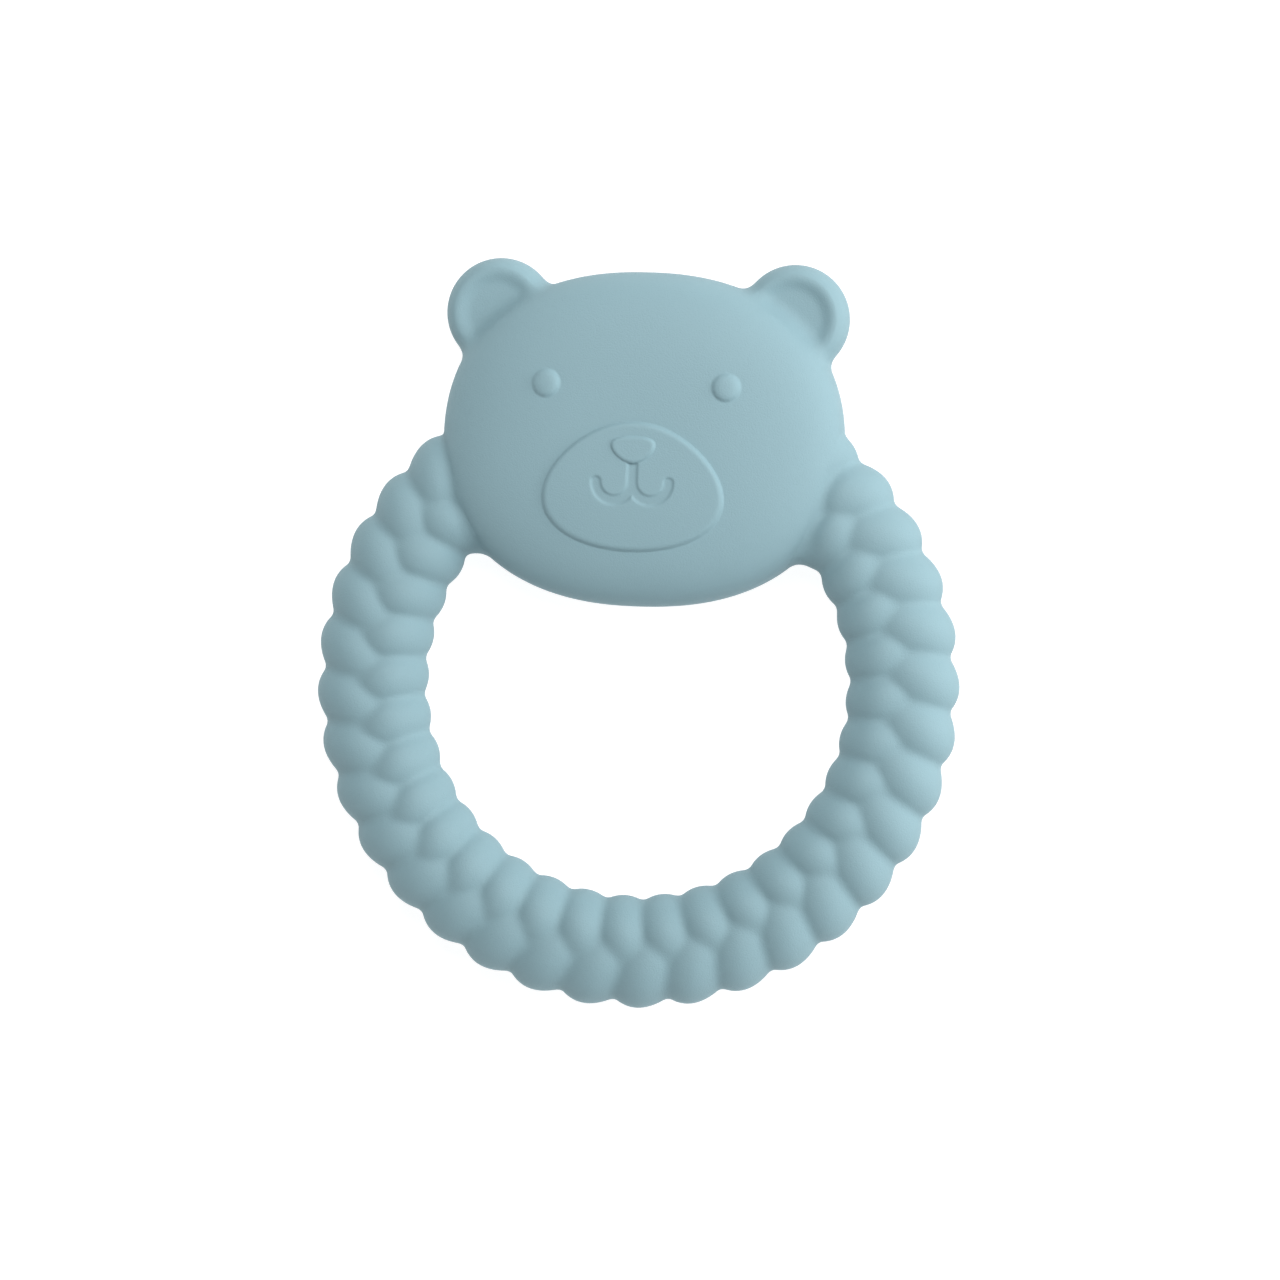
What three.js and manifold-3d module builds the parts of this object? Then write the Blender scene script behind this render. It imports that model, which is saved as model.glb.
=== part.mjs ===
// A bear-head teething ring: one piece of moulded silicone with a round braided grip ring and a
// domed bear head. It lies on its flat back, face up, and every moulded feature is its own mesh.
// Millimetres. +Z points out of the face, +Y towards the ears, and the origin is on the surface it
// lies on, under the middle of the outline. Features stand MOULD_GAP apart where one would
// otherwise run into the next.
import * as THREE from 'three';
import { mergeVertices } from 'three/addons/utils/BufferGeometryUtils.js';
import Module from 'manifold-3d';

const wasm = await Module();
wasm.setup();

// ---- Driving dimensions ----
const MOULD_GAP = 0.3; // between one feature and the next
const PARTING_HEIGHT = 6; // the plane where the two mould halves meet, at every widest outline

// Grip ring: a rounded section swept round a circle, its surface dimpled between two rows of ribs.
const RING_CENTRE_Y = -7.05;
const RING_OUTER_RADIUS = 45.6; // over the crests of the ribs
const RING_INNER_RADIUS = 29.75; // over the crests of the ribs
const RING_HALF_DEPTH = 6.5; // of the bare section, before the ribs take half a millimetre off it
const RING_SECTION_EXPONENT = 2; // an ellipse
const RIBS_PER_TURN = 36.35; // the fraction falls inside the head
const OUTER_RIB_TURN = THREE.MathUtils.degToRad(2.3); // of a crest at the outer edge, from -Y
const INNER_RIB_TURN = THREE.MathUtils.degToRad(-1.3); // of a crest at the inner edge, from -Y
const OUTER_RIB_LEAN = THREE.MathUtils.degToRad(0.37); // per millimetre in from the outer edge
const INNER_RIB_LEAN = THREE.MathUtils.degToRad(0.17); // per millimetre out from the inner edge
const OUTER_RIB_END = 44.5; // the radius from which an outer rib's crest falls inwards
const INNER_RIB_END = 33.1; // the radius from which an inner rib's crest falls outwards
const OUTER_RIB_CURVE = 0.088; // across a rib, depth per square millimetre from its crest
const INNER_RIB_CURVE = 0.12;
const OUTER_END_CURVE = 0.019; // along a rib, depth per square millimetre past its end
const INNER_END_CURVE = 0.044;
const VALLEY_ROUNDING = 0.95; // how far in depth the valley between two ribs is rounded
const ROW_ROUNDING = 0.6; // and the valley between the two rows
const STEPS_PER_RIB = 6;
const RING_SECTION_STEPS = 18;

// Head: a superellipse outline under a domed face, on a back that is flat in its middle.
const HEAD_CENTRE_Y = 26.7;
const HEAD_HALF_WIDTH = 28.3;
const HEAD_RISE = 24.2; // from the centre to the top of the head
const HEAD_DROP = 22.8; // from the centre to the chin
const HEAD_OUTLINE_EXPONENT = 2.27;
const FACE_HEIGHT = 10; // the face's top above the parting plane
const FACE_EXPONENT = 3;
const BACK_BULGE = 0.5; // how far the back's curve would pass through the flat that trims it
const BACK_EXPONENT = 4.5;
const HEAD_ROUND_STEPS = 56;
const HEAD_DOME_STEPS = 20;

// Ears: round buttons with a rolled rim and a dished front.
const EAR_X = 20.9;
const EAR_Y = HEAD_CENTRE_Y + 18.1;
const EAR_RADIUS = 7.66;
const EAR_HALF_THICKNESS = 3.4;
const EAR_RIM_RIDGE_RADIUS = 5.7;
const EAR_DISH_RADIUS = 4;
const EAR_DISH_DEPTH = 0.5;
const EAR_BACK_FLAT_RADIUS = 4.6;
const EAR_ROUND_STEPS = 32;

// Eyes: round domes, each on a short plug let into the face.
const EYE_X = 12.65;
const EYE_Y = HEAD_CENTRE_Y + 8;
const EYE_RADIUS = 1.95;
const EYE_DOME_HEIGHT = 0.7;
const EYE_ROUND_STEPS = 20;

// Muzzle: an egg-shaped plateau, narrow end up, with the nose on it and the mouth cut into it.
const MUZZLE_Y = HEAD_CENTRE_Y - 6.1;
const MUZZLE_HALF_WIDTH = 12.5;
const MUZZLE_HALF_HEIGHT = 9;
const MUZZLE_TAPER = 0.2; // the share of its width it loses from its middle to its top
const MUZZLE_STEP = 0.55; // above the face
const MUZZLE_ROUND_STEPS = 40;

// Nose: a rounded triangle, point down, made of two half superellipses that meet at its widest line.
const NOSE_Y = HEAD_CENTRE_Y - 0.4; // of the widest line
const NOSE_HALF_WIDTH = 3.25;
const NOSE_RISE = 1.45; // from the widest line to the top
const NOSE_DROP = 2.65; // from the widest line to the point
const NOSE_RISE_EXPONENT = 2.5;
const NOSE_DROP_EXPONENT = 1.7;
const NOSE_STEP = 0.95; // above the face
const NOSE_ROUND_STEPS = 32;

// Mouth: a groove with a stem under the nose and a half circle to each side.
const MOUTH_CURL_Y = HEAD_CENTRE_Y - 5.45;
const MOUTH_CURL_RADIUS = 2.55;
const MOUTH_HALF_WIDTH = 0.65;
const MOUTH_FLOOR = 0.3; // above the face
const MOUTH_ARC_STEPS = 12;

// Plugs and pockets under the muzzle, the nose and the eyes.
const PLUG_DEPTH = 1;
const POCKET_DEPTH = PLUG_DEPTH + MOULD_GAP;
const CUTTER_HEIGHT = 20; // enough to pass through everything above the parting plane
const MERGE_DISTANCE = 1e-4; // points nearer than this are one point

// ---- Materials ----
const silicone = {
  head: new THREE.MeshStandardMaterial({ color: 0x96b6bf, roughness: 0.62, metalness: 0 }),
  ring: new THREE.MeshStandardMaterial({ color: 0x92b3bc, roughness: 0.62, metalness: 0 }),
  trim: new THREE.MeshStandardMaterial({ color: 0x8cabb4, roughness: 0.62, metalness: 0 }),
};

// ---- Solids ----
function solid(geometry) {
  const bare = geometry.index ? geometry.toNonIndexed() : geometry.clone();
  bare.deleteAttribute('normal');
  bare.deleteAttribute('uv');
  const merged = mergeVertices(bare, MERGE_DISTANCE);
  return new wasm.Manifold(
    new wasm.Mesh({
      numProp: 3,
      vertProperties: merged.getAttribute('position').array,
      triVerts: new Uint32Array(merged.index.array),
    }),
  );
}

function geometryOf(manifold) {
  const { vertProperties, triVerts } = manifold.getMesh();
  const geometry = new THREE.BufferGeometry();
  geometry.setAttribute('position', new THREE.BufferAttribute(vertProperties, 3));
  geometry.setIndex(new THREE.BufferAttribute(triVerts, 1));
  const faceted = geometry.toNonIndexed();
  faceted.computeVertexNormals();
  return faceted;
}

// A straight-sided solid of an outline, from the parting plane to above everything.
function prism(shape) {
  const settings = { depth: CUTTER_HEIGHT, bevelEnabled: false, curveSegments: MOUTH_ARC_STEPS };
  const geometry = new THREE.ExtrudeGeometry(shape, settings);
  geometry.translate(0, 0, PARTING_HEIGHT);
  return solid(geometry);
}

function signedPower(value, power) {
  return Math.sign(value) * Math.abs(value) ** power;
}

// The lower of two depths, with the corner between them rounded.
function roundedMinimum(a, b, rounding) {
  const overlap = Math.max(rounding - Math.abs(a - b), 0) / rounding;
  return Math.min(a, b) - (overlap * overlap * rounding) / 4;
}

// ---- Head ----
// The head's outer surface moved out by grow, or in where grow is negative.
function headForm(grow) {
  const geometry = new THREE.SphereGeometry(1, HEAD_ROUND_STEPS, HEAD_DOME_STEPS);
  geometry.rotateX(Math.PI / 2);
  const place = geometry.getAttribute('position');
  const roundness = 2 / HEAD_OUTLINE_EXPONENT;
  for (let i = 0; i < place.count; i += 1) {
    const x = place.getX(i);
    const y = place.getY(i);
    const z = place.getZ(i);
    const across = Math.hypot(x, y);
    const exponent = z > 0 ? FACE_EXPONENT : BACK_EXPONENT;
    const height = z > 0 ? FACE_HEIGHT : PARTING_HEIGHT + BACK_BULGE;
    const length = y > 0 ? HEAD_RISE : HEAD_DROP;
    const reach = across ** (2 / exponent);
    const turn = Math.atan2(y, x);
    const rise = (height + grow) * signedPower(z, 2 / exponent);
    place.setXYZ(
      i,
      (HEAD_HALF_WIDTH + grow) * reach * signedPower(Math.cos(turn), roundness),
      HEAD_CENTRE_Y + (length + grow) * reach * signedPower(Math.sin(turn), roundness),
      Math.max(PARTING_HEIGHT + rise, -grow),
    );
  }
  return solid(geometry);
}

const headSurface = headForm(0);
const clearOfHead = headForm(MOULD_GAP);
const belowPlugs = headForm(-PLUG_DEPTH);
const belowPockets = headForm(-POCKET_DEPTH);

// ---- Grip ring ----
// Depth below the crests of one row of ribs, at an angle from a crest and past the ribs' ends.
function rowDepth(angle, radius, pastEnd, curve, endCurve) {
  const pitch = (2 * Math.PI) / RIBS_PER_TURN;
  const turns = angle / pitch;
  const nearest = Math.abs(turns - Math.round(turns)) * pitch * radius;
  const next = pitch * radius - nearest;
  const end = endCurve * Math.max(pastEnd, 0) ** 2;
  return roundedMinimum(curve * nearest ** 2 + end, curve * next ** 2 + end, VALLEY_ROUNDING);
}

// The two rows lean the same way round the ring, which makes the pattern of a braid.
function ribDepth(turn, radius) {
  const outer = rowDepth(
    turn - OUTER_RIB_TURN - OUTER_RIB_LEAN * (RING_OUTER_RADIUS - radius),
    radius,
    OUTER_RIB_END - radius,
    OUTER_RIB_CURVE,
    OUTER_END_CURVE,
  );
  const inner = rowDepth(
    turn - INNER_RIB_TURN - INNER_RIB_LEAN * (radius - RING_INNER_RADIUS),
    radius,
    radius - INNER_RIB_END,
    INNER_RIB_CURVE,
    INNER_END_CURVE,
  );
  return roundedMinimum(outer, inner, ROW_ROUNDING);
}

function gripRing() {
  const centreRadius = (RING_OUTER_RADIUS + RING_INNER_RADIUS) / 2;
  const halfWidth = (RING_OUTER_RADIUS - RING_INNER_RADIUS) / 2;
  const around = Math.round(RIBS_PER_TURN * STEPS_PER_RIB);
  const geometry = new THREE.TorusGeometry(centreRadius, 1, RING_SECTION_STEPS, around);
  const place = geometry.getAttribute('position');
  const roundness = 2 / RING_SECTION_EXPONENT;
  for (let i = 0; i < place.count; i += 1) {
    const turn = Math.atan2(place.getX(i), -place.getY(i)); // from -Y, so the seam is in the head
    const out = Math.hypot(place.getX(i), place.getY(i)) - centreRadius;
    const roll = Math.atan2(place.getZ(i), out);
    const width = halfWidth * signedPower(Math.cos(roll), roundness);
    const rise = RING_HALF_DEPTH * signedPower(Math.sin(roll), roundness);
    const kept = 1 - ribDepth(turn, centreRadius + width) / Math.hypot(width, rise);
    const radius = centreRadius + width * kept;
    place.setXYZ(
      i,
      radius * Math.sin(turn),
      RING_CENTRE_Y - radius * Math.cos(turn),
      PARTING_HEIGHT + rise * kept,
    );
  }
  return solid(geometry).subtract(clearOfHead);
}

// ---- Ears ----
function earProfile() {
  const points = [new THREE.Vector2(0, PARTING_HEIGHT - EAR_HALF_THICKNESS)];
  const edgeSteps = 5;
  for (let i = 0; i <= 2 * edgeSteps; i += 1) {
    const roll = (Math.PI / 2) * (i / edgeSteps - 1);
    const flat = roll < 0 ? EAR_BACK_FLAT_RADIUS : EAR_RIM_RIDGE_RADIUS;
    points.push(
      new THREE.Vector2(
        flat + (EAR_RADIUS - flat) * Math.cos(roll),
        PARTING_HEIGHT + EAR_HALF_THICKNESS * Math.sin(roll),
      ),
    );
  }
  const dishSteps = 3;
  for (let i = 1; i <= dishSteps; i += 1) {
    const share = i / dishSteps;
    const fall = (1 - Math.cos(Math.PI * share)) / 2;
    points.push(
      new THREE.Vector2(
        THREE.MathUtils.lerp(EAR_RIM_RIDGE_RADIUS, EAR_DISH_RADIUS, share),
        PARTING_HEIGHT + EAR_HALF_THICKNESS - EAR_DISH_DEPTH * fall,
      ),
    );
  }
  points.push(new THREE.Vector2(0, PARTING_HEIGHT + EAR_HALF_THICKNESS - EAR_DISH_DEPTH));
  return points;
}

function ear(side) {
  const geometry = new THREE.LatheGeometry(earProfile(), EAR_ROUND_STEPS);
  geometry.rotateX(Math.PI / 2);
  geometry.translate(side * EAR_X, EAR_Y, 0);
  return solid(geometry).subtract(clearOfHead);
}

// ---- Eyes ----
// Height of the face above the parting plane at a point.
function faceRise(x, y) {
  const up = y - HEAD_CENTRE_Y;
  const length = up > 0 ? HEAD_RISE : HEAD_DROP;
  const spread =
    Math.abs(x / HEAD_HALF_WIDTH) ** HEAD_OUTLINE_EXPONENT +
    Math.abs(up / length) ** HEAD_OUTLINE_EXPONENT;
  const share = spread ** (1 / HEAD_OUTLINE_EXPONENT);
  return FACE_HEIGHT * (1 - share ** FACE_EXPONENT) ** (1 / FACE_EXPONENT);
}

function eye(side) {
  const face = PARTING_HEIGHT + faceRise(EYE_X, EYE_Y);
  const points = [
    new THREE.Vector2(0, face - PLUG_DEPTH),
    new THREE.Vector2(EYE_RADIUS, face - PLUG_DEPTH),
  ];
  const domeSteps = 4;
  for (let i = 0; i < domeSteps; i += 1) {
    const roll = (Math.PI / 2) * (i / domeSteps);
    points.push(
      new THREE.Vector2(EYE_RADIUS * Math.cos(roll), face + EYE_DOME_HEIGHT * Math.sin(roll)),
    );
  }
  points.push(new THREE.Vector2(0, face + EYE_DOME_HEIGHT));
  const geometry = new THREE.LatheGeometry(points, EYE_ROUND_STEPS);
  geometry.rotateX(Math.PI / 2);
  geometry.translate(side * EYE_X, EYE_Y, 0);
  return solid(geometry);
}

function eyePocket(side) {
  const shape = new THREE.Shape();
  shape.absarc(side * EYE_X, EYE_Y, EYE_RADIUS + MOULD_GAP, 0, 2 * Math.PI);
  return prism(shape).subtract(belowPockets);
}

// ---- Muzzle, nose and mouth ----
function muzzleOutline(grow) {
  const points = [];
  for (let i = 0; i < MUZZLE_ROUND_STEPS; i += 1) {
    const turn = (2 * Math.PI * i) / MUZZLE_ROUND_STEPS;
    const taper = 1 - MUZZLE_TAPER * Math.sin(turn);
    points.push(
      new THREE.Vector2(
        (MUZZLE_HALF_WIDTH * taper + grow) * Math.cos(turn),
        MUZZLE_Y + (MUZZLE_HALF_HEIGHT + grow) * Math.sin(turn),
      ),
    );
  }
  return new THREE.Shape(points);
}

function noseOutline(grow) {
  const points = [];
  for (let i = 0; i < NOSE_ROUND_STEPS; i += 1) {
    const turn = (2 * Math.PI * i) / NOSE_ROUND_STEPS;
    const above = Math.sin(turn) > 0;
    const roundness = 2 / (above ? NOSE_RISE_EXPONENT : NOSE_DROP_EXPONENT);
    const length = above ? NOSE_RISE : NOSE_DROP;
    points.push(
      new THREE.Vector2(
        (NOSE_HALF_WIDTH + grow) * signedPower(Math.cos(turn), roundness),
        NOSE_Y + (length + grow) * signedPower(Math.sin(turn), roundness),
      ),
    );
  }
  return new THREE.Shape(points);
}

function mouthCurl(side) {
  const outer = MOUTH_CURL_RADIUS + MOUTH_HALF_WIDTH;
  const inner = MOUTH_CURL_RADIUS - MOUTH_HALF_WIDTH;
  const middle = side * MOUTH_CURL_RADIUS;
  const shape = new THREE.Shape();
  shape.absarc(middle, MOUTH_CURL_Y, outer, Math.PI, 2 * Math.PI);
  shape.absarc(middle + MOUTH_CURL_RADIUS, MOUTH_CURL_Y, MOUTH_HALF_WIDTH, 0, Math.PI);
  shape.absarc(middle, MOUTH_CURL_Y, inner, 2 * Math.PI, Math.PI, true);
  shape.absarc(middle - MOUTH_CURL_RADIUS, MOUTH_CURL_Y, MOUTH_HALF_WIDTH, 0, Math.PI);
  return shape;
}

function mouthStem() {
  const shape = new THREE.Shape();
  shape.moveTo(-MOUTH_HALF_WIDTH, MOUTH_CURL_Y);
  shape.lineTo(MOUTH_HALF_WIDTH, MOUTH_CURL_Y);
  shape.lineTo(MOUTH_HALF_WIDTH, NOSE_Y);
  shape.lineTo(-MOUTH_HALF_WIDTH, NOSE_Y);
  return shape;
}

function mouthGroove() {
  return prism(mouthStem())
    .add(prism(mouthCurl(-1)))
    .add(prism(mouthCurl(1)))
    .subtract(headForm(MOUTH_FLOOR));
}

function muzzle() {
  return prism(muzzleOutline(0))
    .intersect(headForm(MUZZLE_STEP))
    .subtract(belowPlugs)
    .subtract(prism(noseOutline(MOULD_GAP)))
    .subtract(mouthGroove());
}

function nose() {
  return prism(noseOutline(0)).intersect(headForm(NOSE_STEP)).subtract(belowPlugs);
}

function muzzlePocket() {
  return prism(muzzleOutline(MOULD_GAP)).subtract(belowPockets);
}

function head() {
  return headSurface.subtract(muzzlePocket()).subtract(eyePocket(-1)).subtract(eyePocket(1));
}

// ---- The teething ring ----
const teethingRing = new THREE.Group();

function addPart(name, manifold, material) {
  const mesh = new THREE.Mesh(geometryOf(manifold), material);
  mesh.name = name;
  teethingRing.add(mesh);
}

addPart('grip_ring', gripRing(), silicone.ring);
addPart('head', head(), silicone.head);
addPart('ear_left', ear(-1), silicone.head);
addPart('ear_right', ear(1), silicone.head);
addPart('eye_left', eye(-1), silicone.trim);
addPart('eye_right', eye(1), silicone.trim);
addPart('muzzle', muzzle(), silicone.trim);
addPart('nose', nose(), silicone.trim);

export default teethingRing;
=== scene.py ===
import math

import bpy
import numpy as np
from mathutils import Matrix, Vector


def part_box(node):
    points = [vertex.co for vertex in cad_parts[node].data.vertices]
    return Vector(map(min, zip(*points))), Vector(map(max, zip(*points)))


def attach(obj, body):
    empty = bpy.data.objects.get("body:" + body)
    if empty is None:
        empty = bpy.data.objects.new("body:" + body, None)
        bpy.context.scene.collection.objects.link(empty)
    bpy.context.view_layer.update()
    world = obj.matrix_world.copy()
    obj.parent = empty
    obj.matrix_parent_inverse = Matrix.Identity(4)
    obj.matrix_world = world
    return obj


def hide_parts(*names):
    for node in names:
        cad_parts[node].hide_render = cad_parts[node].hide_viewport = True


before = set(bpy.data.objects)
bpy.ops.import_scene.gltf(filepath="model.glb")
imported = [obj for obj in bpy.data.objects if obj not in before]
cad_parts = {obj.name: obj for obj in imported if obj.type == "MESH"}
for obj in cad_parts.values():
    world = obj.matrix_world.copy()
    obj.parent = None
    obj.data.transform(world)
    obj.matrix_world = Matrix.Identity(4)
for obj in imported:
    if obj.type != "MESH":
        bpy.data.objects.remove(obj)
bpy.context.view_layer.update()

# A soft silicone teething ring: a braided grip ring that runs into a domed bear's head.
#
# Each moulded feature is a signed distance field in the frame's axes, in millimetres, negative
# inside. A feature's field is blended into the field of the surface that it grows from, so that
# it ends in a fillet, and the fillet's foot dips SINK below that surface. The zero surface of
# each field is meshed on a grid, evened out and settled onto the true surface.

MM = 0.001
SINK = 0.012  # how far a fillet's foot goes under the surface it meets


# ---- Sizes, from the frame ----
def box_mm(node):
    low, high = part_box(node)
    return np.array(low) / MM, np.array(high) / MM


ring_low, ring_high = box_mm("grip_ring")
head_low, head_high = box_mm("head")
nose_low, nose_high = box_mm("nose")
muzzle_low, muzzle_high = box_mm("muzzle")

PARTING_Z = (ring_low[2] + ring_high[2]) / 2  # where the mould's halves meet

RING_OUTER = 45.6  # radius over the crests
RING_INNER = 29.75
RING_MIDDLE = (RING_OUTER + RING_INNER) / 2
RING_HALF_WIDTH = (RING_OUTER - RING_INNER) / 2
RING_HALF_DEPTH = (ring_high[2] - ring_low[2]) / 2 + 0.54  # of the section before the ribs
LOWEST_CREST_SHORT = 0.07  # how far the lowest crest falls short of the outer radius
RING_Y = ring_low[1] + RING_OUTER - LOWEST_CREST_SHORT
RING_ROOT = 8.0  # how far it goes in under the head's outline
FURROW_WIDTH = 2.4  # round the head, across the ring's faces
FURROW_DEPTH = 0.65
ROOT_FILLET = 1.0  # where the ring meets the head
CORNER_FILLET = 3.6  # and in the corners of the opening
RIBS_PER_TURN = 36.35  # the fraction falls inside the head
OUTER_RIB_TURN = math.radians(2.3)  # of a crest at the outer edge, from -Y
INNER_RIB_TURN = math.radians(-1.3)  # of a crest at the inner edge, from -Y
OUTER_RIB_LEAN = math.radians(0.37)  # per millimetre in from the outer edge
INNER_RIB_LEAN = math.radians(0.17)  # per millimetre out from the inner edge
OUTER_RIB_END = 44.5  # the radius from which an outer rib's crest falls inwards
INNER_RIB_END = 33.1
OUTER_RIB_CURVE = 0.088  # across a rib, depth per square millimetre from its crest
INNER_RIB_CURVE = 0.120
OUTER_END_CURVE = 0.019  # along a rib, depth per square millimetre past its end
INNER_END_CURVE = 0.044
VALLEY_ROUNDING = 0.95  # how far in depth the valley between two ribs of a row is rounded
ROW_ROUNDING = 0.6  # and between the two rows

HEAD_HALF_WIDTH = (head_high[0] - head_low[0]) / 2
HEAD_LENGTH = head_high[1] - head_low[1]
HEAD_DROP = 0.485 * HEAD_LENGTH  # from the head's widest line to the chin
HEAD_RISE = HEAD_LENGTH - HEAD_DROP
HEAD_Y = head_low[1] + HEAD_DROP
HEAD_OUTLINE_EXPONENT = 2.27
MUZZLE_STEP = 0.55  # above the face
NOSE_STEP = 0.95
FACE_Z = nose_high[2] - NOSE_STEP
FACE_EXPONENT = 3.0
BACK_BULGE = 0.5  # how far the back's curve would pass its flat
BACK_EXPONENT = 4.5
BACK_ROUNDING = 0.3  # where the back's curve meets its flat

EAR_RADIUS = 7.66
EAR_HALF_DEPTH = 3.4
EAR_RIM_HALF_WIDTH = 1.95
EAR_DISH_DEPTH = 0.5
EAR_DISH_ROUNDING = 0.9
EAR_FILLET = 1.8

EYE_HEIGHT = 0.7
EYE_INSET = 0.15  # of the dome's foot, which the fillet then makes up
EYE_EXPONENT = 2.4
EYE_FILLET = 0.5

MUZZLE_TAPER = 0.2
MUZZLE_ROUNDING = 0.6
NOSE_RISE = 1.45
NOSE_RISE_EXPONENT = 2.5
NOSE_DROP_EXPONENT = 1.7
NOSE_ROUNDING = 0.4
WALL_LEAN = 0.3  # of the muzzle's and the nose's walls, across for each millimetre up
WALL_FILLET = 0.2
MOUTH_BELOW_NOSE = 4.45
MOUTH_CURL = 2.55
MOUTH_HALF_WIDTH = 0.65
MOUTH_FLOOR = 0.3  # above the face
MOUTH_FLOOR_ROUNDING = 0.3
MOUTH_EDGE_ROUNDING = 0.35

ELLIPSE = 2.0  # the exponent that makes a superellipse an ellipse
SMALLEST_SHARE = 1e-6  # keeps a shape's middle from dividing by zero
SMALLEST_TAPER = 0.3  # keeps the muzzle's outline open far above it
SMALLEST_SLOPE = 0.05  # squared, keeps a point from leaping where a field is nearly level


# ---- Fields ----
def smooth_min(a, b, width):
    overlap = np.maximum(width - np.abs(a - b), 0) / width
    return np.minimum(a, b) - overlap**2 * width / 4


def smooth_max(a, b, width):
    return -smooth_min(-a, -b, width)


def superellipse(x, y, width, height, exponent):
    """How far out a point is, as a share of a superellipse's size, and how fast that grows."""
    across = np.abs(x) / width
    along = np.abs(y) / height
    share = (across**exponent + along**exponent) ** (1 / exponent)
    share = np.maximum(share, SMALLEST_SHARE)
    slope = np.hypot(across ** (exponent - 1) / width, along ** (exponent - 1) / height)
    return share, slope / share ** (exponent - 1)


def head_outline(x, y):
    up = y - HEAD_Y
    length = np.where(up > 0, HEAD_RISE, HEAD_DROP)
    return superellipse(x, up, HEAD_HALF_WIDTH, length, HEAD_OUTLINE_EXPONENT)


def head_field(x, y, z):
    spread, spread_slope = head_outline(x, y)
    front = z > PARTING_Z
    exponent = np.where(front, FACE_EXPONENT, BACK_EXPONENT)
    depth = np.where(front, FACE_Z - PARTING_Z, PARTING_Z + BACK_BULGE)
    lift = np.abs(z - PARTING_Z) / depth
    share = np.maximum((spread**exponent + lift**exponent) ** (1 / exponent), SMALLEST_SHARE)
    slope = np.hypot(
        (spread / share) ** (exponent - 1) * spread_slope,
        (lift / share) ** (exponent - 1) / depth,
    )
    return smooth_max((share - 1) / slope, -z, BACK_ROUNDING)


def row_depth(angle, radius, past_end, curve, end_curve):
    """Depth below the crests of a row of ribs, at an angle from a crest and past the ribs' ends."""
    pitch = 2 * math.pi / RIBS_PER_TURN
    turns = angle / pitch
    nearest = np.abs(turns - np.round(turns)) * pitch * radius
    end = end_curve * np.maximum(past_end, 0) ** 2
    beside = curve * (pitch * radius - nearest) ** 2
    return end + smooth_min(curve * nearest**2, beside, VALLEY_ROUNDING)


def rib_depth(turn, radius):
    """The two rows lean the same way round the ring, which makes the pattern of a braid."""
    outer = row_depth(
        turn - OUTER_RIB_TURN - OUTER_RIB_LEAN * (RING_OUTER - radius),
        radius,
        OUTER_RIB_END - radius,
        OUTER_RIB_CURVE,
        OUTER_END_CURVE,
    )
    inner = row_depth(
        turn - INNER_RIB_TURN - INNER_RIB_LEAN * (radius - RING_INNER),
        radius,
        radius - INNER_RIB_END,
        INNER_RIB_CURVE,
        INNER_END_CURVE,
    )
    return smooth_min(outer, inner, ROW_ROUNDING)


def bare_ring_field(x, y, z):
    radius = np.hypot(x, y - RING_Y)
    share, slope = superellipse(
        radius - RING_MIDDLE, z - PARTING_Z, RING_HALF_WIDTH, RING_HALF_DEPTH, ELLIPSE
    )
    return (share - 1) / slope + rib_depth(np.arctan2(x, RING_Y - y), radius)


def bare_ear_field(x, y, z, ear_x, ear_y):
    radius = np.hypot(x - ear_x, y - ear_y)
    rim_radius = EAR_RADIUS - EAR_RIM_HALF_WIDTH
    share, slope = superellipse(
        radius - rim_radius, z - PARTING_Z, EAR_RIM_HALF_WIDTH, EAR_HALF_DEPTH, ELLIPSE
    )
    rim = (share - 1) / slope
    slab = np.maximum(
        radius - rim_radius,
        np.maximum(
            z - (PARTING_Z + EAR_HALF_DEPTH - EAR_DISH_DEPTH), PARTING_Z - EAR_HALF_DEPTH - z
        ),
    )
    return smooth_min(rim, slab, EAR_DISH_ROUNDING)


def muzzle_outline(x, y):
    """Distance outside the egg-shaped outline of the muzzle."""
    turn = np.linspace(-1, 1, 401)
    widest = np.max(np.cos(turn) * (1 - MUZZLE_TAPER * np.sin(turn)))
    half_width = (muzzle_high[0] - muzzle_low[0]) / 2 / widest
    half_height = (muzzle_high[1] - muzzle_low[1]) / 2
    up = (y - (muzzle_high[1] + muzzle_low[1]) / 2) / half_height
    taper = np.maximum(1 - MUZZLE_TAPER * up, SMALLEST_TAPER)
    share, slope = superellipse(x / taper, up * half_height, half_width, half_height, ELLIPSE)
    return (share - 1) / slope


def nose_outline(x, y):
    """Distance outside a rounded triangle, point down, widest at NOSE_RISE below its top."""
    up = y - (nose_high[1] - NOSE_RISE)
    width = (nose_high[0] - nose_low[0]) / 2
    drop = nose_high[1] - nose_low[1] - NOSE_RISE
    above, above_slope = superellipse(x, up, width, NOSE_RISE, NOSE_RISE_EXPONENT)
    below, below_slope = superellipse(x, up, width, drop, NOSE_DROP_EXPONENT)
    return np.where(up > 0, (above - 1) / above_slope, (below - 1) / below_slope)


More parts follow.
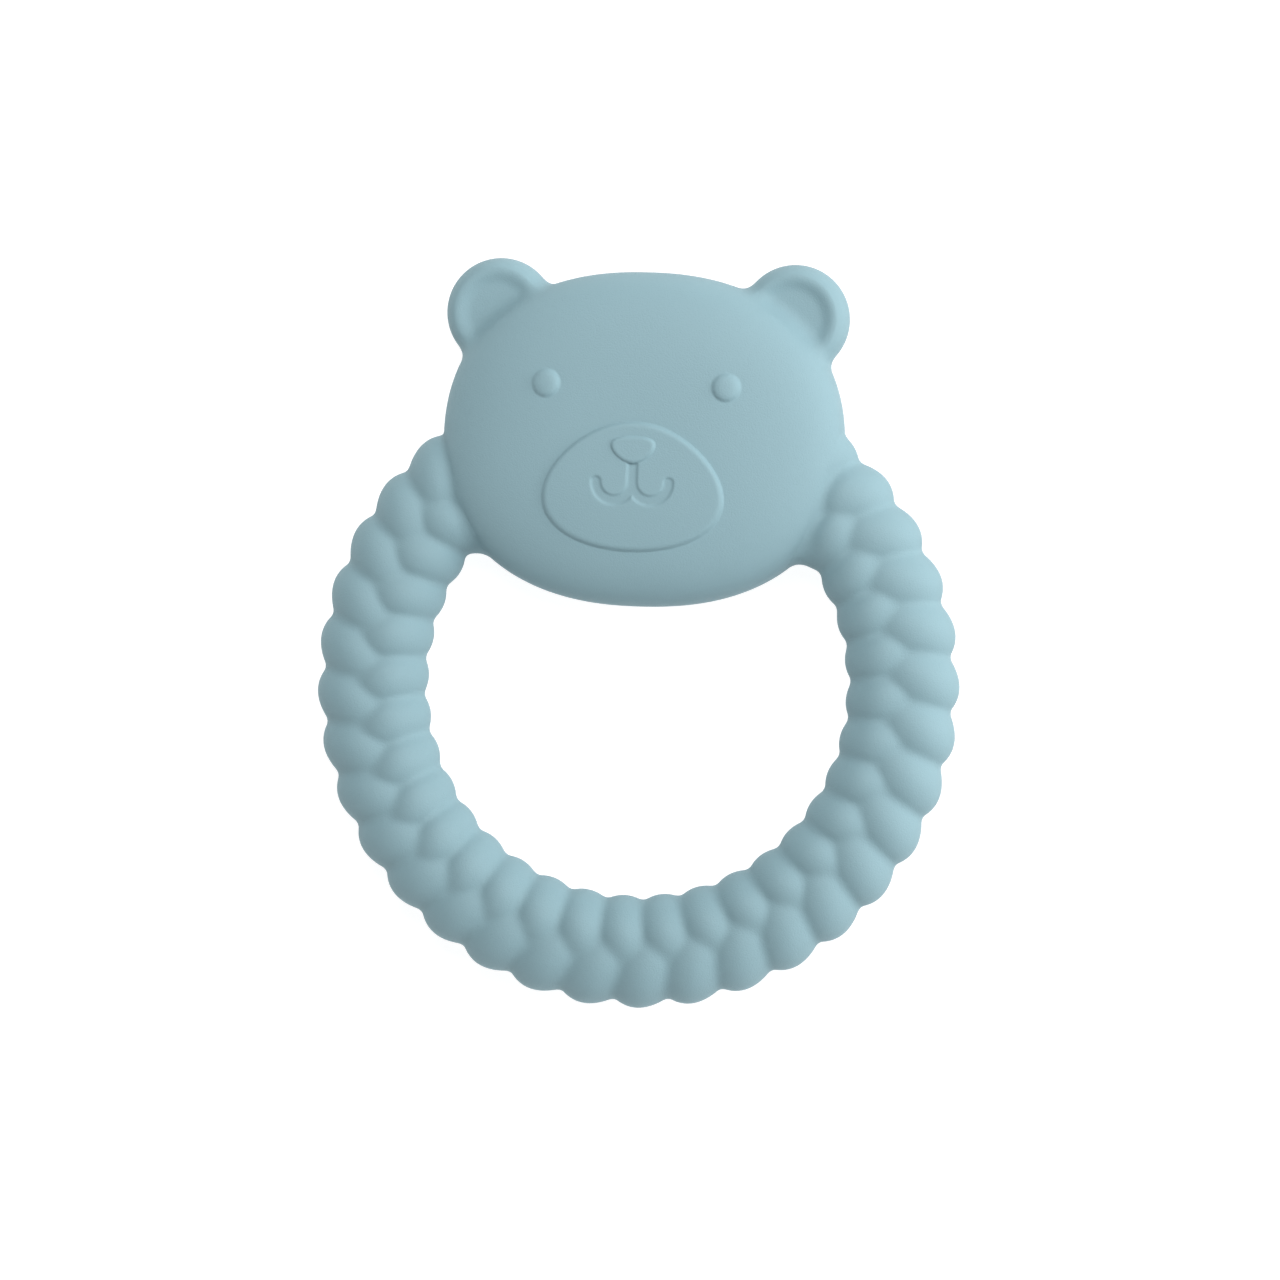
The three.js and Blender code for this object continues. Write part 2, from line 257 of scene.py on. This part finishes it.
def mouth_path(x, y):
    """Distance from the middle line of the mouth: a stem and a half circle to each side."""
    nose_y = (nose_high[1] + nose_low[1]) / 2
    curl_y = nose_y - MOUTH_BELOW_NOSE
    stem = np.hypot(x, y - np.clip(y, curl_y, nose_y))
    across = np.abs(x) - MOUTH_CURL
    below = np.minimum(y - curl_y, 0)
    arc = np.abs(np.hypot(across, y - curl_y) - MOUTH_CURL)
    ends = np.hypot(np.abs(across) - MOUTH_CURL, y - curl_y)
    curl = np.where(below < 0, arc, ends)
    return np.minimum(stem, curl)


# ---- Features: a field each, blended into the surface it grows from ----
def rooted(feature, ground, fillet, root):
    """A feature's field with a fillet down to the ground and a root that stays under it."""
    blended = smooth_min(feature, ground + SINK, fillet)
    return np.maximum(blended, np.maximum(feature - fillet, -ground - root))


def grip_ring_field(x, y, z):
    """The ribs fall into a furrow round the head, and the opening's corners are filled."""
    head = head_field(x, y, z)
    inwards = (RING_MIDDLE - np.hypot(x, y - RING_Y)) / RING_HALF_WIDTH
    lift = np.clip(np.abs(z - PARTING_Z) / RING_HALF_DEPTH, 0, 1)
    in_corner = np.clip(inwards, 0, 1) * (1 - lift**2)
    furrow = np.maximum(1 - np.abs(head - SINK) / FURROW_WIDTH, 0) ** 2
    ring = bare_ring_field(x, y, z) + FURROW_DEPTH * furrow * lift**2
    fillet = ROOT_FILLET + (CORNER_FILLET - ROOT_FILLET) * in_corner
    joined = rooted(ring, head, fillet, root=2.0)
    spread, slope = head_outline(x, y)
    past_end = (1 - spread) / slope - RING_ROOT
    return np.maximum(joined, np.maximum(past_end, SINK - z))


def ear_field(side):
    low, high = box_mm("ear_right")
    ear_x = side * (high[0] - EAR_RADIUS)
    ear_y = high[1] - EAR_RADIUS

    def field(x, y, z):
        bare = bare_ear_field(x, y, z, ear_x, ear_y)
        return rooted(bare, head_field(x, y, z), EAR_FILLET, root=2.0)

    return field


def eye_field(side):
    low, high = box_mm("eye_right")
    eye_x = side * (low[0] + high[0]) / 2
    eye_y = (low[1] + high[1]) / 2
    radius = (high[0] - low[0]) / 2

    def field(x, y, z):
        ground = head_field(x, y, z)
        across = np.hypot(x - eye_x, y - eye_y)
        share, slope = superellipse(across, ground, radius - EYE_INSET, EYE_HEIGHT, EYE_EXPONENT)
        return rooted((share - 1) / slope, ground, EYE_FILLET, root=0.4)

    return field


def plateau(outline, ground, height, rounding):
    """A raised flat whose walls lean in as they rise."""
    wall = (outline + WALL_LEAN * ground) / math.hypot(1, WALL_LEAN)
    return smooth_max(wall, ground - height, rounding)


def muzzle_top(x, y, z, ground):
    solid = plateau(muzzle_outline(x, y), ground, MUZZLE_STEP, MUZZLE_ROUNDING)
    wall = mouth_path(x, y) - MOUTH_HALF_WIDTH
    groove = smooth_max(wall, MOUTH_FLOOR - ground, MOUTH_FLOOR_ROUNDING)
    return smooth_max(solid, -groove, MOUTH_EDGE_ROUNDING)


def muzzle_field(x, y, z):
    ground = head_field(x, y, z)
    return rooted(muzzle_top(x, y, z, ground), ground, WALL_FILLET, root=0.5)


def nose_field(x, y, z):
    ground = head_field(x, y, z)
    solid = plateau(nose_outline(x, y), ground, NOSE_STEP, NOSE_ROUNDING)
    return rooted(solid, muzzle_top(x, y, z, ground), WALL_FILLET, root=0.4)


# ---- Meshing ----
def crossings(values, axis):
    """The grid edges along an axis that the surface crosses, and where on them it does."""
    step = np.eye(3, dtype=int)[axis]
    last = np.array(values.shape) - step
    near = values[: last[0], : last[1], : last[2]]
    far = values[step[0] :, step[1] :, step[2] :]
    edges = np.argwhere((near < 0) != (far < 0))
    start = near[tuple(edges.T)]
    end = far[tuple(edges.T)]
    return edges, edges + (start / (start - end))[:, None] * step, start < 0


def surface_net(values):
    """Vertices in grid units and quads of the surface where values pass zero."""
    cells = np.array(values.shape) - 1
    total = np.zeros((cells.prod(), 3))
    count = np.zeros(cells.prod())
    quads = []
    for axis in range(3):
        first = np.eye(3, dtype=int)[(axis + 1) % 3]
        second = np.eye(3, dtype=int)[(axis + 2) % 3]
        edges, points, outward = crossings(values, axis)
        around = []
        for offset in (0 * first, first, first + second, second):
            cell = np.ravel_multi_index((edges - offset).T, cells)
            around.append(cell)
            count += np.bincount(cell, minlength=len(count))
            for k in range(3):
                total[:, k] += np.bincount(cell, points[:, k], minlength=len(count))
        around = np.stack(around, 1)
        quads.append(np.where(outward[:, None], around, around[:, ::-1]))
    used = count > 0
    number = np.cumsum(used) - 1
    return total[used] / count[used, None], number[np.concatenate(quads)]


def settle(points, field):
    """Moves points along the field's slope onto its zero surface."""
    reach = 0.01
    for _ in range(3):
        slope = np.stack(
            [
                (field(*(points + shift).T) - field(*(points - shift).T)) / (2 * reach)
                for shift in np.eye(3) * reach
            ],
            1,
        )
        steepness = np.maximum((slope**2).sum(1), SMALLEST_SLOPE)
        points = points - (field(*points.T) / steepness)[:, None] * slope
    return points


def even_out(points, quads):
    """Each point moves halfway to the middle of its neighbours."""
    start = quads.ravel()
    end = np.roll(quads, -1, axis=1).ravel()
    count = np.bincount(start, minlength=len(points))
    middle = np.stack(
        [np.bincount(start, points[end, k], minlength=len(points)) / count for k in range(3)], 1
    )
    return (points + middle) / 2


def moulded(name, field, low, high, step, node, material):
    """A feature's piece, standing for its CAD node, from its field inside a box."""
    axes = [np.arange(low[k], high[k] + step, step) for k in range(3)]
    values = field(*np.meshgrid(*axes, indexing="ij", sparse=True))
    points, quads = surface_net(values)
    points = points * step + np.array([axis[0] for axis in axes])
    for _ in range(3):
        points = settle(even_out(points, quads), field)
    mesh = bpy.data.meshes.new(name)
    mesh.from_pydata((points * MM).tolist(), [], quads.tolist())
    mesh.shade_smooth()
    mesh.materials.append(material)
    piece = bpy.data.objects.new(name, mesh)
    bpy.context.scene.collection.objects.link(piece)
    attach(piece, "root")
    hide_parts(node)
    return piece


# ---- Silicone ----
def node_of(nodes, kind, **values):
    node = nodes.new(kind)
    for key, value in values.items():
        setattr(node, key, value)
    return node


def noise(material, coordinates, scale, detail):
    node = node_of(material.node_tree.nodes, "ShaderNodeTexNoise")
    node.inputs["Scale"].default_value = scale
    node.inputs["Detail"].default_value = detail
    material.node_tree.links.new(coordinates, node.inputs["Vector"])
    return node.outputs["Fac"]


def silicone(name, colour):
    """Matte moulded silicone: a slow drift of tone, a fine grain and the mould's parting line."""
    material = bpy.data.materials.new(name)
    material.use_nodes = True
    nodes = material.node_tree.nodes
    links = material.node_tree.links
    shader = nodes["Principled BSDF"]
    place = nodes.new("ShaderNodeTexCoord").outputs["Object"]

    drift = noise(material, place, scale=55, detail=2)
    tone = node_of(nodes, "ShaderNodeMix", data_type="RGBA")
    tone.inputs["A"].default_value = (*[c * 0.97 for c in colour], 1)
    tone.inputs["B"].default_value = (*[min(c * 1.03, 1) for c in colour], 1)
    links.new(drift, tone.inputs["Factor"])
    links.new(tone.outputs["Result"], shader.inputs["Base Color"])

    grain = noise(material, place, scale=4800, detail=3)
    rough = node_of(nodes, "ShaderNodeMapRange")
    rough.inputs["To Min"].default_value = 0.56
    rough.inputs["To Max"].default_value = 0.68
    links.new(grain, rough.inputs["Value"])
    links.new(rough.outputs["Result"], shader.inputs["Roughness"])

    split = nodes.new("ShaderNodeSeparateXYZ")
    links.new(place, split.inputs["Vector"])
    off_line = node_of(nodes, "ShaderNodeMath", operation="SUBTRACT")
    off_line.inputs[1].default_value = PARTING_Z * MM
    links.new(split.outputs["Z"], off_line.inputs[0])
    apart = node_of(nodes, "ShaderNodeMath", operation="ABSOLUTE")
    links.new(off_line.outputs["Value"], apart.inputs[0])
    ridge = node_of(nodes, "ShaderNodeMapRange", interpolation_type="SMOOTHSTEP")
    ridge.inputs["From Max"].default_value = 0.16 * MM
    ridge.inputs["To Min"].default_value = 0.35
    ridge.inputs["To Max"].default_value = 0.0
    links.new(apart.outputs["Value"], ridge.inputs["Value"])
    relief = node_of(nodes, "ShaderNodeMath", operation="ADD")
    links.new(grain, relief.inputs[0])
    links.new(ridge.outputs["Result"], relief.inputs[1])
    bump = nodes.new("ShaderNodeBump")
    bump.inputs["Strength"].default_value = 0.9
    bump.inputs["Distance"].default_value = 0.055 * MM
    links.new(relief.outputs["Value"], bump.inputs["Height"])
    links.new(bump.outputs["Normal"], shader.inputs["Normal"])

    shader.inputs["IOR"].default_value = 1.41
    shader.inputs["Specular IOR Level"].default_value = 0.35
    return material


SILICONE_COLOUR = (0.246, 0.382, 0.427)  # linear
head_silicone = silicone("head_silicone", SILICONE_COLOUR)
ring_silicone = silicone("ring_silicone", SILICONE_COLOUR)
relief_silicone = silicone("relief_silicone", SILICONE_COLOUR)


# ---- The pieces ----
def around(node, margin):
    """The CAD node's box in millimetres, with room for the fillet at its foot."""
    low, high = box_mm(node)
    return low - margin, high + margin


low, high = around("grip_ring", margin=3.0)
high[1] += RING_ROOT
moulded(
    "grip_ring_braid", grip_ring_field, low, high, step=0.4,
    node="grip_ring", material=ring_silicone,
)

low, high = around("head", margin=1.5)
moulded(
    "head_dome", head_field, low, high, step=0.45,
    node="head", material=head_silicone,
)

for name, side in (("left", -1), ("right", 1)):
    low, high = around("ear_" + name, margin=3.0)
    moulded(
        "ear_" + name + "_rolled", ear_field(side), low, high, step=0.25,
        node="ear_" + name, material=head_silicone,
    )
    low, high = around("eye_" + name, margin=0.8)
    moulded(
        "eye_" + name + "_dome", eye_field(side), low, high, step=0.1,
        node="eye_" + name, material=relief_silicone,
    )

low, high = around("muzzle", margin=1.2)
moulded(
    "muzzle_plateau", muzzle_field, low, high, step=0.15,
    node="muzzle", material=relief_silicone,
)
low, high = around("nose", margin=0.8)
moulded(
    "nose_button", nose_field, low, high, step=0.1,
    node="nose", material=relief_silicone,
)


# ---- Floor, light and camera ----
def floor():
    """A plain white floor that glows a little, as a light table does, so shadows stay faint.

    It has a low rim, so that a view from near its own level ends in white too.
    """
    mesh = bpy.data.meshes.new("floor")
    size = 3.0
    rim = 0.45
    square = [(-size, -size), (size, -size), (size, size), (-size, size)]
    corners = [(x, y, height) for height in (0, rim) for x, y in square]
    walls = [(side, side + 4, (side + 1) % 4 + 4, (side + 1) % 4) for side in range(4)]
    mesh.from_pydata(corners, [], [(0, 1, 2, 3), *walls])
    material = bpy.data.materials.new("floor_white")
    material.use_nodes = True
    shader = material.node_tree.nodes["Principled BSDF"]
    shader.inputs["Base Color"].default_value = (0.3, 0.3, 0.3, 1)
    shader.inputs["Emission Color"].default_value = (1, 1, 1, 1)
    shader.inputs["Emission Strength"].default_value = 0.9
    shader.inputs["Roughness"].default_value = 0.9
    shader.inputs["Specular IOR Level"].default_value = 0.1
    mesh.materials.append(material)
    piece = bpy.data.objects.new("floor", mesh)
    bpy.context.scene.collection.objects.link(piece)


def softbox(name, azimuth, elevation, distance, size, power):
    """A square lamp that faces the object's middle, from an azimuth in degrees round from +X."""
    light = bpy.data.lights.new(name, "AREA")
    light.size = size
    light.energy = power
    lamp = bpy.data.objects.new(name, light)
    turn = math.radians(azimuth)
    rise = math.radians(elevation)
    level = math.cos(rise)
    direction = Vector((level * math.cos(turn), level * math.sin(turn), math.sin(rise)))
    lamp.location = direction * distance
    lamp.rotation_euler = direction.to_track_quat("Z", "Y").to_euler()
    bpy.context.scene.collection.objects.link(lamp)


def studio():
    world = bpy.data.worlds.new("studio")
    world.use_nodes = True
    world.node_tree.nodes["Background"].inputs["Color"].default_value = (1, 1, 1, 1)
    world.node_tree.nodes["Background"].inputs["Strength"].default_value = 0.12
    bpy.context.scene.world = world
    softbox("main", azimuth=75, elevation=60, distance=0.6, size=0.36, power=2.8)
    softbox("side", azimuth=0, elevation=35, distance=1.0, size=0.6, power=3.6)
    softbox("low_side", azimuth=14, elevation=12, distance=1.0, size=0.6, power=4.0)
    softbox("low_near_side", azimuth=315, elevation=12, distance=1.0, size=0.6, power=1.5)
    softbox("low_near_left", azimuth=225, elevation=12, distance=1.0, size=0.6, power=2.0)
    bpy.context.scene.view_settings.view_transform = "Standard"


def camera():
    """Looks straight down at the face, from a little to the right."""
    distance = 0.7
    tilt_right = math.radians(8.06)
    tilt_up = math.radians(1.06)
    roll = math.radians(-1.83)
    pixels_per_metre = 7119.5
    image_width = 1280
    target = Vector((0.64 * MM, -0.77 * MM, 8 * MM))
    back = Vector((math.tan(tilt_right), math.tan(tilt_up), 1)).normalized()
    top = Vector((math.sin(roll), math.cos(roll), 0))
    right = top.cross(back).normalized()
    up = back.cross(right)
    data = bpy.data.cameras.new("camera")
    data.sensor_width = 36
    data.lens = data.sensor_width * pixels_per_metre * distance / image_width
    eye = bpy.data.objects.new("camera", data)
    bpy.context.scene.collection.objects.link(eye)
    turn = Matrix((right, up, back)).transposed().to_4x4()
    eye.matrix_world = Matrix.Translation(target + back * distance) @ turn
    bpy.context.scene.camera = eye


floor()
studio()
camera()
